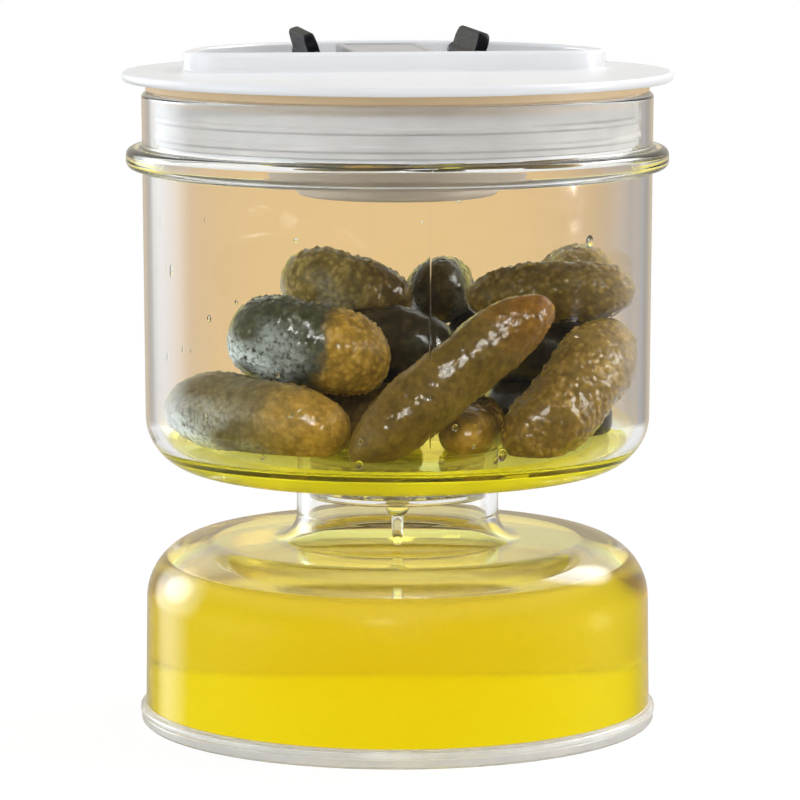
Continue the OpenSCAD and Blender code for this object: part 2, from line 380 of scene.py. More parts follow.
class Paint(Nodes):
    """A material with a Principled shader."""

    def __init__(self, name):
        self.mat = bpy.data.materials.new(name)
        super().__init__(self.mat)
        self.out = self.add("OutputMaterial")
        self.bsdf = self.add("BsdfPrincipled")
        self.link(self.bsdf.outputs[0], self.out.inputs["Surface"])
        self.coord = self.add("TexCoord")

    def set(self, **values):
        for key, value in values.items():
            name = key.replace("_", " ")
            if name == "Base Color" and len(value) == 3:
                value = (*value, 1)
            self.bsdf.inputs[name].default_value = value

    def stretch(self, scale):
        node = self.add("Mapping")
        node.inputs["Scale"].default_value = scale
        self.link(self.coord.outputs["Object"], node.inputs["Vector"])
        return node.outputs[0]

    def noise(self, size_mm, detail=3, rough=0.5, vector=None):
        node = self.add("TexNoise")
        node.inputs["Scale"].default_value = 1000 / size_mm
        node.inputs["Detail"].default_value = detail
        node.inputs["Roughness"].default_value = rough
        self.link(vector or self.coord.outputs["Object"], node.inputs["Vector"])
        return node.outputs["Fac"]

    def colour(self, socket):
        self.link(socket, self.bsdf.inputs["Base Color"])

    def roughness(self, socket):
        self.link(socket, self.bsdf.inputs["Roughness"])

    def bump(self, height, depth_mm, strength=1.0):
        node = self.add("Bump")
        node.inputs["Strength"].default_value = strength
        node.inputs["Distance"].default_value = depth_mm * MM
        self.link(height, node.inputs["Height"])
        self.link(node.outputs[0], self.bsdf.inputs["Normal"])

    def attribute(self, name):
        return self.add("Attribute", attribute_name=name).outputs["Fac"]

    def blend(self, fac, a, b):
        """Lets the material's surface be shader a or b."""
        node = self.add("MixShader")
        self.link(fac, node.inputs[0])
        self.link(a, node.inputs[1])
        self.link(b, node.inputs[2])
        self.link(node.outputs[0], self.out.inputs["Surface"])
        return node.outputs[0]

    def glow(self, strength):
        node = self.add("Emission")
        node.inputs["Strength"].default_value = strength
        return node.outputs[0]

    def let_lamps_through(self, colour):
        """Shadow rays pass straight through, so that lamps reach what is behind the clear wall."""
        path = self.add("LightPath")
        clear = self.add("BsdfTransparent")
        clear.inputs["Color"].default_value = (*colour, 1)
        self.blend(path.outputs["Is Shadow Ray"], self.bsdf.outputs[0], clear.outputs[0])

    def absorb(self, colour, density):
        node = self.add("VolumeAbsorption")
        node.inputs["Color"].default_value = (*colour, 1)
        node.inputs["Density"].default_value = density
        self.link(node.outputs[0], self.out.inputs["Volume"])


def clear_plastic(name, ior, haze):
    p = Paint(name)
    p.set(Base_Color=(0.985, 0.985, 0.98), IOR=ior, Transmission_Weight=1.0)
    smear = p.noise(14, 4, 0.6, p.stretch((1, 1, 0.35)))
    p.roughness(p.range(smear, 0.45, 0.75, haze, haze + 0.035))
    p.bump(p.noise(22, 2), 0.03, 0.25)
    p.let_lamps_through((0.95, 0.95, 0.94))
    return p.mat


def base_plastic(name, clear, pale):
    p = Paint(name)
    p.set(IOR=1.49, Transmission_Weight=clear)
    cloud = p.noise(9, 4)
    p.colour(p.ramp(cloud, (0.3, (pale - 0.09, pale - 0.08, pale - 0.07)), (0.7, (pale, pale, pale))))
    p.roughness(p.range(p.noise(2.5, 3), 0.3, 0.7, 0.12, 0.26))
    p.bump(p.noise(1.2, 3), 0.02, 0.3)
    p.let_lamps_through((0.8, 0.8, 0.8))
    return p.mat


def brine(name, colour, density, tint, other, haze, clear=1.0, ior=1.345):
    p = Paint(name)
    p.set(IOR=ior, Transmission_Weight=clear)
    cloud = p.noise(18, 3, 0.55, p.stretch((1, 1, 2.5)))
    p.colour(p.ramp(cloud, (0.35, tint), (0.7, other)))
    p.roughness(p.range(p.noise(6, 3), 0.4, 0.7, haze, haze + 0.03))
    p.bump(p.noise(15, 2), 0.05, 0.3)
    p.let_lamps_through(tint)
    p.absorb(colour, density)
    return p.mat


def moulded(name, colours, cloud, gloss, grain, **values):
    """Opaque moulded plastic: cloudy between two colours, with an uneven gloss and a fine grain."""
    p = Paint(name)
    p.set(**values)
    p.colour(p.ramp(p.noise(*cloud), (0.3, colours[0]), (0.7, colours[1])))
    p.roughness(p.range(p.noise(gloss[0], 3), 0.3, 0.7, *gloss[1:]))
    p.bump(p.noise(grain[0], 2), *grain[1:])
    return p.mat


def silicone():
    p = Paint("seal_silicone")
    p.set(IOR=1.42)
    cloud = p.noise(8, 3)
    grey = p.ramp(cloud, (0.3, (0.53, 0.515, 0.5)), (0.7, (0.6, 0.585, 0.57)))
    # Painted shade: the seal turns warm tan toward its top, where it sits in the shade under the brim
    split = p.add("SeparateXYZ")
    p.link(p.coord.outputs["Object"], split.inputs[0])
    p.colour(p.mix(p.range(split.outputs["Z"], 0.127, 0.13, 0.0, 0.85), grey, (0.78, 0.55, 0.28)))
    p.roughness(p.range(p.noise(1.5, 3), 0.3, 0.7, 0.4, 0.58))
    p.bump(p.noise(0.5, 2), 0.012, 0.4)
    return p.mat


def pin_steel():
    p = Paint("pin_steel")
    p.set(Metallic=1.0)
    grain = p.noise(0.5, 4, 0.6, p.stretch((1, 0.05, 1)))
    p.colour(p.ramp(grain, (0.3, (0.5, 0.5, 0.51)), (0.7, (0.66, 0.66, 0.67))))
    p.roughness(p.range(grain, 0.3, 0.7, 0.2, 0.4))
    p.bump(grain, 0.005, 0.3)
    return p.mat


def gherkin_skin(name, rough, first, second, change, soft, pale, bloom):
    """Skin from one colour to another along the fruit, with mottling, painted shade between the warts, pale
    wart tops that are partly painted glints, a painted reflection on the lower side and a wet coat.
    """
    p = Paint(name)
    p.set(IOR=1.4, Specular_IOR_Level=0.08, Coat_Weight=1.0, Coat_Roughness=0.1, Coat_IOR=1.36)
    along = p.attribute("along")
    wart = p.attribute("wart")
    patch = p.noise(7, 4, 0.6)
    where = p.math("ADD", along, p.math("MULTIPLY", p.math("SUBTRACT", patch, 0.5), 0.3))
    change_over = p.range(where, change - soft, change + soft, 0, 1)
    two = p.mix(change_over, first, second)
    mottle = p.ramp(p.noise(2.2, 6, 0.7), (0.3, (0.55, 0.53, 0.46)), (0.7, (1.35, 1.33, 1.26)))
    body = p.mix(0.9, two, mottle, "MULTIPLY")
    # Painted shade: the skin turns darker in the hollows between the warts
    pit = p.range(wart, 0.0, 0.4, 1.0 - 0.7 * rough, 1.0)
    body = p.mix(1.0, body, pit, "MULTIPLY")
    # Wart tops turn toward the wart colour in patches: partly the warts' own paler colour, partly painted
    # glints
    worn = p.range(p.noise(4, 2), 0.4, 0.65, 0.1, 1.0)
    top = p.math("MULTIPLY", p.range(wart, 0.5, 1.0, 0, 0.3 * rough), worn)
    body = p.mix(top, body, pale)
    # Painted sheen: a pale cool veil over the lower side of the fruit's first part, standing in for the
    # reflection of a low lamp on the left
    if bloom > 0:
        dry = p.math("SUBTRACT", 1.0, change_over)
        grains = p.range(p.noise(1.1, 4, 0.7), 0.34, 0.54, 0.0, bloom)
        veil = p.math("MULTIPLY", p.attribute("frost"), grains)
        veil = p.math("MULTIPLY", veil, p.range(along, 0.25, 0.6, 1.0, 0.2))
        body = p.mix(p.math("MULTIPLY", veil, dry), body, COOL)
    p.colour(body)
    p.roughness(p.range(p.noise(1.5, 3), 0.3, 0.7, 0.45, 0.6))
    p.bump(p.noise(0.7, 4, 0.6), 0.18, 0.8)
    return p.mat


# Clear jars, base and brine

CLEAR = clear_plastic("clear_plastic", 1.5, 0.0)
WETTED = clear_plastic("clear_plastic_wetted", 1.14, 0.2)
WHITE = moulded(
    "lid_white", ((0.84, 0.845, 0.86), (0.88, 0.88, 0.89)), (30, 3), (1.6, 0.3, 0.42), (0.6, 0.01, 0.3),
    IOR=1.49, Coat_Weight=0.15, Coat_Roughness=0.25)
SEAM_HEIGHT = 0.022
SEAM_WIDTH = 0.11
SEAM_STEPS = [k * 0.0007 for k in range(-6, 7)]
SEAM_ANGLES = [a + s + 0.00001 for a in (math.pi / 2, 3 * math.pi / 2) for s in SEAM_STEPS]


def seam(r, z, n, t):
    """A fine mould parting line up the outside of the upper jar, front and back."""
    if n.x < 0.5 or r < 50.5 or z < 63:
        return 0, 0
    off = math.remainder(t - math.pi / 2, math.pi) * r
    grow = SEAM_HEIGHT * math.exp(-(off / SEAM_WIDTH) ** 2)
    return grow, -2 * off / SEAM_WIDTH ** 2 * grow


upper_jar = revolve("upper_jar_clear", rounded([
    (LEDGE_R, SPIGOT_Z, 0.3), (SPIGOT_R, SPIGOT_Z, 0.6),
    (SPIGOT_R, RING_Z - GROOVE_HALF, 0.15), (GROOVE_R, RING_Z - GROOVE_HALF, 0.15),
    (GROOVE_R, RING_Z + GROOVE_HALF, 0.15), (SPIGOT_R, RING_Z + GROOVE_HALF, 0.15),
    (SPIGOT_R, UP_Z, 0.5), (UP_OUT[0], UP_Z, UP_ROUND),
    (UP_OUT[1] - 0.12, BEAD_Z - BEAD_HALF, 0.7), (BEAD_R, BEAD_Z - BEAD_HALF, 2.19),
    (BEAD_R, BEAD_Z + BEAD_HALF, 2.19), (UP_OUT[1] - 0.08, BEAD_Z + BEAD_HALF, 0.7),
    (UP_OUT[1], MOUTH_Z, 1.05), (UP_IN[1], MOUTH_Z, 1.05),
    (UP_IN[0], FLOOR_Z, FLOOR_ROUND), (DRAIN_R, FLOOR_Z, 0.9),
    (DRAIN_R, LEDGE_Z, 0.2), (LEDGE_R, LEDGE_Z, 0.2)]), push=seam, extra=SEAM_ANGLES)
place(upper_jar, "upper_jar", "upper", CLEAR)

lower_jar = revolve("lower_jar_clear", rounded([
    (LOW_IN[0], FOOT_Z, 0.2), (LOW_OUT[0], FOOT_Z, 0.2), (LOW_OUT[1], LOW_TOP, LOW_ROUND),
    (NECK_R, LOW_TOP, 5.0), (NECK_R, NECK_TOP, 0.7), (BORE_R, NECK_TOP, 0.7),
    (BORE_R, LOW_ROOF, 7.2), (LOW_IN[1], LOW_ROOF, LOW_ROUND)]))
place(lower_jar, "lower_jar", "lower", CLEAR)
second_finish(
    lower_jar, WETTED, lambda face, lean: lean < 0 and BASE_TOP < face.center.z / MM < BRINE_Z + 0.2)

base_plate = revolve("base_plate_milky", rounded([
    (0, 0.5, 0), (STAND_R - 1, 0.5, 0.4), (STAND_R, 0, 0.4), (BASE_R - 0.6, 0, 0.5), (BASE_R, 0.6, 0.4),
    (BASE_R, FOOT_Z, 0.3), (SEAT_R, FOOT_Z, 0.2), (SEAT_R, BASE_TOP, 0.2), (0, BASE_TOP, 0)],
    closed=False), closed=False)
place(base_plate, "base_plate", "lower", base_plastic("base_plastic", 0.5, 0.96))

# The milky ring ends below the brine's floor, so that its far side isn't seen through the brine
MILKY_IN = 51.7
MILKY_TOP = 3.5
foot = revolve("lower_jar_foot", rounded([
    (MILKY_IN, FOOT_Z, 0), (FOOT_R, FOOT_Z, 0.3), (FOOT_R, MILKY_TOP - 0.2, 0.6),
    (FOOT_R - 0.8, MILKY_TOP, 0.2), (MILKY_IN, MILKY_TOP, 0)]))
foot.data.materials.append(base_plastic("foot_plastic", 0.85, 0.97))
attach(foot, "lower")

# Brine reaches this far into the walls that it wets
OVERLAP = 0.12


def meniscus(rim, top, level):
    """The brine's surface, from where it climbs the wall inward to its level."""
    reach, decay = 3, 0.7
    steps = [reach * (k / 10) ** 2 for k in range(1, 11)]
    return [(rim - 0.01 - s, level + (top - level) * math.exp(-s / decay)) for s in steps]


def lower_brine_outline():
    """The brine wets the wall of the lower jar and climbs it in a small meniscus."""
    bottom = BASE_TOP + 0.01
    low = [(0, bottom), (LOW_IN[0] - 0.25, bottom), (LOW_IN[0] - 0.02 + OVERLAP, bottom + 0.01)]
    wall = [(LOW_IN[0], FOOT_Z, 0), (LOW_IN[1], LOW_ROOF, LOW_ROUND), (BORE_R, LOW_ROOF, 0)]
    wall = rounded(wall, closed=False)
    wall = [(r + n.x * OVERLAP, z + n.y * OVERLAP) for (r, z), n in zip(wall, outline_normals(wall, False))]
    wall = [(r, z) for r, z in wall if 4 < z < BRINE_Z + 0.3]
    return low + wall + meniscus(*wall[-1], BRINE_Z) + [(20, BRINE_Z), (0, BRINE_Z)]


CLEAR_BRINE = ((0.95, 0.886, 0.04), 50, (1.0, 0.97, 0.75), (1.0, 0.99, 0.93))
brine_lower = revolve("brine_lower_body", lower_brine_outline(), closed=False)
place(brine_lower, "brine_lower", "lower", brine("brine", *CLEAR_BRINE, 0.06))
# Where the brine wets the wall, the wall's own face bends the light
second_finish(
    brine_lower, brine("brine_wall", *CLEAR_BRINE, 0.0, ior=1.02),
    lambda face, lean: lean > 0 and face.center.length > 45 * MM and abs(face.normal.z) < 0.95)


def pool_outline():
    """The puddle on the upper jar's floor, with the drain below it."""
    radius = FLOOR_ROUND + OVERLAP
    heights = [FLOOR_Z + 0.1 + 0.25 * k for k in range(15)]
    wall = [(CORNER_R + math.sqrt(radius ** 2 - (CORNER_Z - z) ** 2), z) for z in heights]
    low = FLOOR_Z - OVERLAP
    bottom = STRAINER_Z + 0.75
    side = DRAIN_R + 0.1
    drain = rounded([(0, bottom, 0), (side, bottom, 0.2), (side, low, 0.7), (41.0, low, 0)], closed=False)
    return drain + wall + meniscus(*wall[-1], POOL_Z) + [(30, POOL_Z), (20, POOL_Z), (0, POOL_Z)]


POOL = brine("brine_pool", (0.99, 0.965, 0.01), 60, (0.97, 0.94, 0.16), (0.99, 0.96, 0.24), 0.0, 0.96)
brine_upper = revolve("brine_upper_pool", pool_outline(), closed=False)
place(brine_upper, "brine_upper", "upper", POOL)


def floor_arc(gap):
    """Points along the rounded edge of the upper jar's floor, that far inside it."""
    radius = FLOOR_ROUND - gap
    angles = [math.radians(-90 + 3 * k) for k in range(14)]
    return [(CORNER_R + radius * math.cos(t), CORNER_Z + radius * math.sin(t)) for t in angles]


# A cloudy yellow sheet along the floor's rounded edge: painted light, lit by the lamps, standing in for the
# light that brightens the brine there
FILM = brine("brine_film_painted_light", (0.99, 0.975, 0.05), 20, (0.98, 0.95, 0.18), (1.0, 0.97, 0.26), 0.5, 0.4)
film = revolve("brine_upper_film", floor_arc(0.06) + floor_arc(0.3)[::-1])
film.data.materials.append(FILM)
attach(film, "upper")

DROPS = 36
DROP_SIZES = (0.4, 0.5, 0.6, 0.8, 1.1)
DROP_FLAT = 0.3
DROP_TALL = 1.2


def build_drops():
    """Flat drops of brine that cling to the inside of the upper jar, half sunk in its wall."""
    spread = random.Random(11)
    rings, sides = 8, 14
    verts, faces = [], []
    for _ in range(DROPS):
        t = spread.uniform(0, 2 * math.pi)
        z = 60 + 44 * spread.random() ** 2
        size = spread.choice(DROP_SIZES)
        out = Vector((math.cos(t), math.sin(t), 0))
        side = Vector((-math.sin(t), math.cos(t), 0))
        wall = UP_IN[0] + (UP_IN[1] - UP_IN[0]) * (z - FLOOR_Z) / (MOUTH_Z - FLOOR_Z)
        middle = out * wall + Vector((0, 0, z))
        faces += ball_faces(len(verts), rings, sides)
        for i in range(rings + 1):
            a = math.pi * i / rings
            for k in range(1 if i in (0, rings) else sides):
                b = 2 * math.pi * k / sides
                flat = side * math.cos(b) + Vector((0, 0, DROP_TALL * math.sin(b)))
                q = out * (DROP_FLAT * math.cos(a)) + flat * math.sin(a)
                verts.append((middle + q * size) * MM)
    return new_object("brine_upper_drops", verts, faces)


drops = build_drops()
drops.data.materials.append(
    brine("brine_drops", (0.99, 0.97, 0.8), 20, (1.0, 0.99, 0.92), (1.0, 1.0, 0.98), 0.0))
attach(drops, "upper")

# Seal ring and strainer

SILICONE = silicone()
AROUND = [2 * math.pi * k / 20 for k in range(20)]
ring = [(RING_R + RING_HALF * math.cos(t), RING_Z + RING_HALF * math.sin(t)) for t in AROUND]
place(revolve("neck_seal_ring", ring), "neck_seal", "upper", SILICONE)


def strainer_disc():
    """Round disc with two rings of drain holes and soft edges."""
    curve = bpy.data.curves.new("strainer_disc", "CURVE")
    curve.dimensions = "2D"
    curve.fill_mode = "BOTH"
    curve.extrude = 0.58 * MM
    curve.bevel_depth = 0.12 * MM
    curve.bevel_resolution = 2
    circles = [(0, 0, STRAINER_R)]
    for holes, first, reach, hole_r in ((8, 0, 11.8, 1.72), (6, 15, 7.08, 1.4)):
        angles = [math.radians(360 / holes * k + first) for k in range(holes)]
        circles += [(reach * math.cos(t), reach * math.sin(t), hole_r) for t in angles]
    for x, y, r in circles:
        points = 96 if r > 5 else 32
        spline = curve.splines.new("POLY")
        spline.points.add(points - 1)
        for k, point in enumerate(spline.points):
            t = 2 * math.pi * k / points
            point.co = ((x + r * math.cos(t)) * MM, (y + r * math.sin(t)) * MM, 0, 1)
        spline.use_cyclic_u = True
    obj = bpy.data.objects.new("strainer_disc", curve)
    mesh = bpy.data.meshes.new_from_object(obj)
    bpy.data.objects.remove(obj)
    verts = [(v.co.x, v.co.y, v.co.z + STRAINER_Z * MM) for v in mesh.vertices]
    faces = [list(f.vertices) for f in mesh.polygons]
    bpy.data.meshes.remove(mesh)
    return verts, faces


def build_strainer():
    """Strainer disc with the drip stem and its bulb below."""
    stem = [(0, 34.0), (0.6, 34.05), (0.92, 34.3), (1.0, 34.6), (1.3, 41.9)]
    angles = [math.radians(-58 + 8 * k) for k in range(15)]
    bulb = [(BULB_R * math.cos(t), BULB_Z + BULB_R * math.sin(t)) for t in angles]
    top = [(1.56, 46.6), (1.7, 47.2), (2.2, 47.65), (0, 47.7)]
    v1, f1, _ = revolve_data(stem + bulb + top, turns=48, closed=False)
    v2, f2 = strainer_disc()
    obj = new_object("strainer_clear", v1 + v2, f1 + [[len(v1) + i for i in f] for f in f2])
    face_outward(obj, 40, weld=0.002)
    return obj


place(build_strainer(), "strainer", "upper", CLEAR)

# Gherkins

PILE_TURN = Matrix.Rotation(math.radians(-7), 3, "Z")
# noise_vector starts from the clock unless it is seeded, and the warts have to be the same each run
noise.seed_set(11)
OCHRE = (0.41, 0.24, 0.032)
OLIVE = (0.132, 0.08, 0.012)
GREEN = (0.33, 0.24, 0.065)
SLATE = (0.075, 0.075, 0.04)
BROWN = (0.19, 0.115, 0.022)
RUST = (0.24, 0.1, 0.01)
# Near black, for the hidden fruits: painted shade in the gaps between the others
DARK = (0.035, 0.026, 0.009)
AMBER = (0.28, 0.175, 0.03)
MOSS = (0.165, 0.105, 0.018)
HONEY = (0.21, 0.125, 0.02)
UMBER = (0.065, 0.045, 0.01)
SAGE = (0.16, 0.125, 0.05)
LIGHT = (0.33, 0.225, 0.06)
PALE = (0.42, 0.38, 0.24)
COOL = (0.66, 0.73, 0.69)
WARM = (0.45, 0.33, 0.12)
# number: tip, other tip, thickness, bend, taper, wart height
SHAPES = {
    1: ((-24.4, 16.4, 35.6), (3, 15, 29.4), 14.4, (0, 0, 0.6), 0.16, 0.6),
    2: ((-34.2, -6, 26.6), (-1.5, -10, 19.6), 18.4, (0, 0, 0.5), 0.14, 0.5),
    3: ((-46, -6.8, 11.2), (-10, -26, 8), 16.6, (0, 0, 0.5), 0.0, 0.3),
    4: ((-8.8, -30.6, 2.2), (30.4, -21.4, 34.2), 13.8, (-0.9, 0, 1.1), 0.06, 0.26),
    5: ((7.8, 17.5, 31.7), (10.6, 41, 29.9), 14.4, (0, 0, 0.3), 0.0, 0.3),
    6: ((14.2, 5, 32), (48.6, -3.5, 34.6), 12.4, (0, 0, 0.3), 0.0, 0.5),
    7: ((41, 6.4, 36.6), (34.4, 28, 34), 12.8, (0, 0, 0.2), 0.0, 0.5),
    8: ((23, -25.2, 3), (45, -5.4, 27.4), 16.2, (0.9, 0, -0.6), 0.0, 0.5),
    9: ((13.6, -25, 6.5), (16.6, 10.5, 6.5), 12.6, (0, 0, 0.2), 0.0, 0.2),
    10: ((-34, 20, 8.2), (3, 33, 8.2), 16, (0, 0, 0), 0.0, 0.4),
    11: ((20.5, 28, 7.2), (42.5, 2, 7.2), 14, (0, 0, 0), 0.0, 0.4),
    12: ((-32, 8, 7.6), (5, -4, 7.6), 14.9, (0, 0, 0), 0.0, 0.4),
    13: ((-26, 14.4, 19.5), (12, 1, 20.3), 12.4, (0, 0, 2), -0.4, 0.4),
    14: ((11, 29.5, 20.3), (45, 5, 21.2), 13, (0, 0, 0), 0.0, 0.4),
}
# number: first colour, second, where along the fruit it changes, over what share, colour of the wart tops,
# share of painted sheen
SKINS = {
    1: (GREEN, BROWN, 0.62, 0.2, PALE, 0.35),
    2: (SLATE, OCHRE, 0.6, 0.04, COOL, 1.0),
    3: (SAGE, OCHRE, 0.72, 0.18, PALE, 1.0),
    4: (OLIVE, RUST, 0.84, 0.14, WARM, 0.0),
    5: (UMBER, UMBER, 0.6, 0.3, PALE, 0.1),
    6: (MOSS, AMBER, 0.84, 0.12, WARM, 0.0),
    7: (LIGHT, OLIVE, 0.6, 0.3, PALE, 0.0),
    8: (HONEY, AMBER, 0.45, 0.25, WARM, 0.0),
    9: (OCHRE, OLIVE, 0.4, 0.2, WARM, 0.0),
    10: (GREEN, OLIVE, 0.5, 0.3, PALE, 0.2),
    # The hidden fruits 11 to 14 are mostly near black: painted shade in the gaps they fill
    11: (DARK, DARK, 0.5, 0.3, PALE, 0.1),
    12: (DARK, OLIVE, 0.5, 0.3, PALE, 0.1),
    13: (DARK, DARK, 0.5, 0.3, PALE, 0.1),
    14: (DARK, DARK, 0.5, 0.3, PALE, 0.1),
}
SHOWN = 9
SHOWN_MESH = (150, 132)
HIDDEN_MESH = (56, 64)
WART_SIZE = 1.4
LUMP_SIZE = 8
LUMP_HEIGHT = 0.7
RIB_HEIGHT = 0.1
GRAIN_SIZE = 0.8
GRAIN_HEIGHT = 0.06


def swell(number):
    """How far in mm a fruit swells past its solid: the hidden ones fill the gaps between the others."""
    if number <= SHOWN:
        return -0.15
    return 0.8 if number < 13 else 1.5


def wart_height(p, seed):
    """0 between warts and 1 on top of one, from a point in mm."""
    q = Vector((p.x + 31.7 * seed, p.y, p.z)) / WART_SIZE
    q = q + noise.noise_vector(q * 0.8) * 0.35
    near = noise.voronoi(q)[0][0]
    big = noise.noise(q * 0.3) * 0.5
    return max(0.0, min(1.0, 1.05 - near * 1.7 + big)) ** 1.3


def settle(p):
    """Keeps a point in mm above the jar's floor and inside its wall and rounded corner."""
    z = max(p.z, 0.12)
    r = math.hypot(p.x, p.y)
    most = UP_IN[0] - 0.2
    if z <= FLOOR_ROUND:
        most = CORNER_R + math.sqrt(max(0, (FLOOR_ROUND - 0.15) ** 2 - (z - FLOOR_ROUND) ** 2))
    shrink = min(1, most / r) if r > 0 else 1
    return Vector((p.x * shrink, p.y * shrink, z))


def build_gherkin(number, a, b, d, bend, taper, height):
    """One fruit from tip a to tip b with lumps, ribs and warts, its skin's values stored on its points."""
    rings, sides = SHOWN_MESH if number <= SHOWN else HIDDEN_MESH
    a, b, bend = Vector(a), Vector(b), Vector(bend)
    axis = (b - a).normalized()
    bend -= axis * bend.dot(axis)
    side = axis.cross(Vector((0, 0, 1))).normalized()
    up = side.cross(axis)
    verts, along, warts, frost = [], [], [], []
    for i in range(rings + 1):
        s = (1 - math.cos(math.pi * i / rings)) / 2
        s = 0.45 * s + 0.55 * i / rings if 0 < i < rings else s
        middle = a + (b - a) * s + bend * 4 * s * (1 - s)
        plump = math.sqrt(max(0.0, 1 - abs(2 * s - 1) ** 4))
        for k in range(1 if i in (0, rings) else sides):
            t = 2 * math.pi * k / sides
            out = side * math.cos(t) + up * math.sin(t)
            base = middle + out * (d / 2 * plump)
            lump = noise.noise((base + Vector((0, 17.0 * number, 0))) / LUMP_SIZE) * LUMP_HEIGHT
            rib = RIB_HEIGHT * math.cos(5 * t + 1.7 * number)
            grain = noise.noise((base + Vector((9.0 * number, 0, 0))) / GRAIN_SIZE) * GRAIN_HEIGHT
            bump = wart_height(base, number)
            r = d / 2 * plump * (1 + taper * (0.5 - s))
            rough = lump + rib + grain + swell(number) + height * (bump - 0.3)
            r += rough * min(1, plump * 1.5)
            p = settle(PILE_TURN @ (middle + out * max(r, 0)))
            verts.append((p.x * MM, p.y * MM, (p.z + FLOOR_Z) * MM))
            along.append(s)
            warts.append(bump)
            # The painted sheen's mask: strongest on the fruit's lower side, in patches
            low = max(0.0, min(1.0, 0.55 - 0.9 * out.z))
            frost.append(low * max(0.0, min(1.0, 0.5 + 1.6 * noise.noise(base / 6))))
    faces = ball_faces(0, rings, sides, flip=True)
    obj = new_object("gherkin_%d_fruit" % number, verts, faces)
    for label, values in (("along", along), ("wart", warts), ("frost", frost)):
        layer = obj.data.attributes.new(label, "FLOAT", "POINT")
        layer.data.foreach_set("value", values)
    return obj


for number, shape in SHAPES.items():
    fruit = build_gherkin(number, *shape)
    skin = gherkin_skin("gherkin_skin_%d" % number, shape[5], *SKINS[number])
    place(fruit, "gherkin_%d" % number, "upper", skin)

# Lid, cup and seal


def tray_path(r, front, corner, step=1.0):
    """Points and outward normals of the half-moon tray: a disc cut straight in front, its corners rounded."""
    cy = corner - front
    cx = math.sqrt((r - corner) ** 2 - cy ** 2)
    turn = math.atan2(cy, cx)
    points, normals = [], []

    def arc(x, y, radius, start, end):
        count = max(6, round(abs(end - start) * radius / step))
        for k in range(count):
            t = start + (end - start) * k / count
            n = Vector((math.cos(t), math.sin(t)))
            points.append(Vector((x, y)) + n * radius)
            normals.append(n)

    arc(cx, cy, corner, -math.pi / 2, turn)
    arc(0, 0, r, turn, math.pi - turn)
    arc(-cx, cy, corner, math.pi - turn, 1.5 * math.pi)
    for k in range(24):
        points.append(Vector((-cx + 2 * cx * k / 24, -front)))
        normals.append(Vector((0, -1)))
    return points, normals


def lug_data(x, y):
    """Hinge lug with a bore and softened edges, its front face at y."""
    height, edge, sides = HINGE_Z - LID_Z, 0.2, 48
    outer, inner = [], []
    for k in range(sides):
        t = 2 * math.pi * k / sides - math.pi / 2
        c, s = math.cos(t), math.sin(t)
        if s >= 0:
            outer.append((KNUCKLE_R * c, KNUCKLE_R * s))
        else:
            scale = 1 / max(abs(c) / KNUCKLE_R, abs(s) / (height + 0.3))
            outer.append((c * scale, s * scale))
        inner.append((PIN_BORE * c, PIN_BORE * s))
    verts = []
    for inset, depth in ((edge, 0), (0, edge), (0, LUG_THICK - edge), (edge, LUG_THICK)):
        for px, pz in outer:
            kept = 1 - inset / math.hypot(px, pz)
            verts.append(((x + px * kept) * MM, (y + depth) * MM, (HINGE_Z + pz * kept) * MM))
    for depth in (LUG_THICK, 0):
        verts += [((x + px) * MM, (y + depth) * MM, (HINGE_Z + pz) * MM) for px, pz in inner]
    return verts, band_faces(6, sides), [(0, 0, 1)] * len(verts)


def build_lid():
    """Brim with its skirt, and the tray's wall with a small fillet on both sides of its root."""
    brim = revolve_data(rounded([
        (0, BRIM_Z, 0), (SKIRT_IN, BRIM_Z, 0.8), (SKIRT_IN, SKIRT_Z, 0.6), (SKIRT_R, SKIRT_Z, 0.6),
        (SKIRT_R, BRIM_Z, 0.4), (LID_R, BRIM_Z, 0.95), (LID_R, LID_Z, 0.95), (0, LID_Z, 0)],
        closed=False), closed=False)
    sunk = LID_Z - 0.3
    root = LID_Z + 0.02
    inside = -TRAY_WALL
    tray = sweep_data(*tray_path(TRAY_R, TRAY_FRONT, TRAY_CORNER), rounded([
        (TRAY_FILLET, sunk, 0), (TRAY_FILLET, root, 0.02), (0, root, 0.8), (0, TRAY_TOP, 0.9),
        (inside, TRAY_TOP, 0.8), (inside, root, 0.8), (inside - TRAY_FILLET, root, 0.02),
        (inside - TRAY_FILLET, sunk, 0)]))
    return joined("lid_body", brim, tray)


lid = build_lid()
place(lid, "lid", "cover", WHITE)

lugs = joined("lid_lugs", *[lug_data(x, y) for x in (-HINGE_X, HINGE_X) for y in LUG_Y])
face_outward(lugs, 35)
lugs.data.materials.append(WHITE)
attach(lugs, "cover")

# The cup and the seal end just under the brim
UNDER_BRIM = BRIM_Z - 0.02
cup = revolve("lid_cup_body", rounded([
    (0, CUP_Z, 0), (CUP_LOW_R, CUP_Z, 2.4), (CUP_LOW_R, CUP_STEP_Z, 0.5), (CUP_R, CUP_STEP_Z, 4),
    (CUP_R, UNDER_BRIM, 0.3), (CUP_R - CUP_WALL, UNDER_BRIM, 0.3),
    (CUP_R - CUP_WALL, CUP_STEP_Z + CUP_WALL, 2.2),
    (CUP_LOW_R - CUP_WALL, CUP_STEP_Z + CUP_WALL, 0.6), (CUP_LOW_R - CUP_WALL, CUP_Z + CUP_WALL, 1),
    (0, CUP_Z + CUP_WALL, 0)], closed=False), closed=False)
# Painted shade: the cup is coloured a darker warm grey for the shade under the lid and the warm light it gets
# there
CUP_GREY = moulded(
    "cup_plastic", ((0.5, 0.42, 0.33), (0.57, 0.48, 0.38)), (18, 3), (1.6, 0.4, 0.55), (0.6, 0.01, 0.3),
    IOR=1.49)
place(cup, "lid_cup", "cover", CUP_GREY)

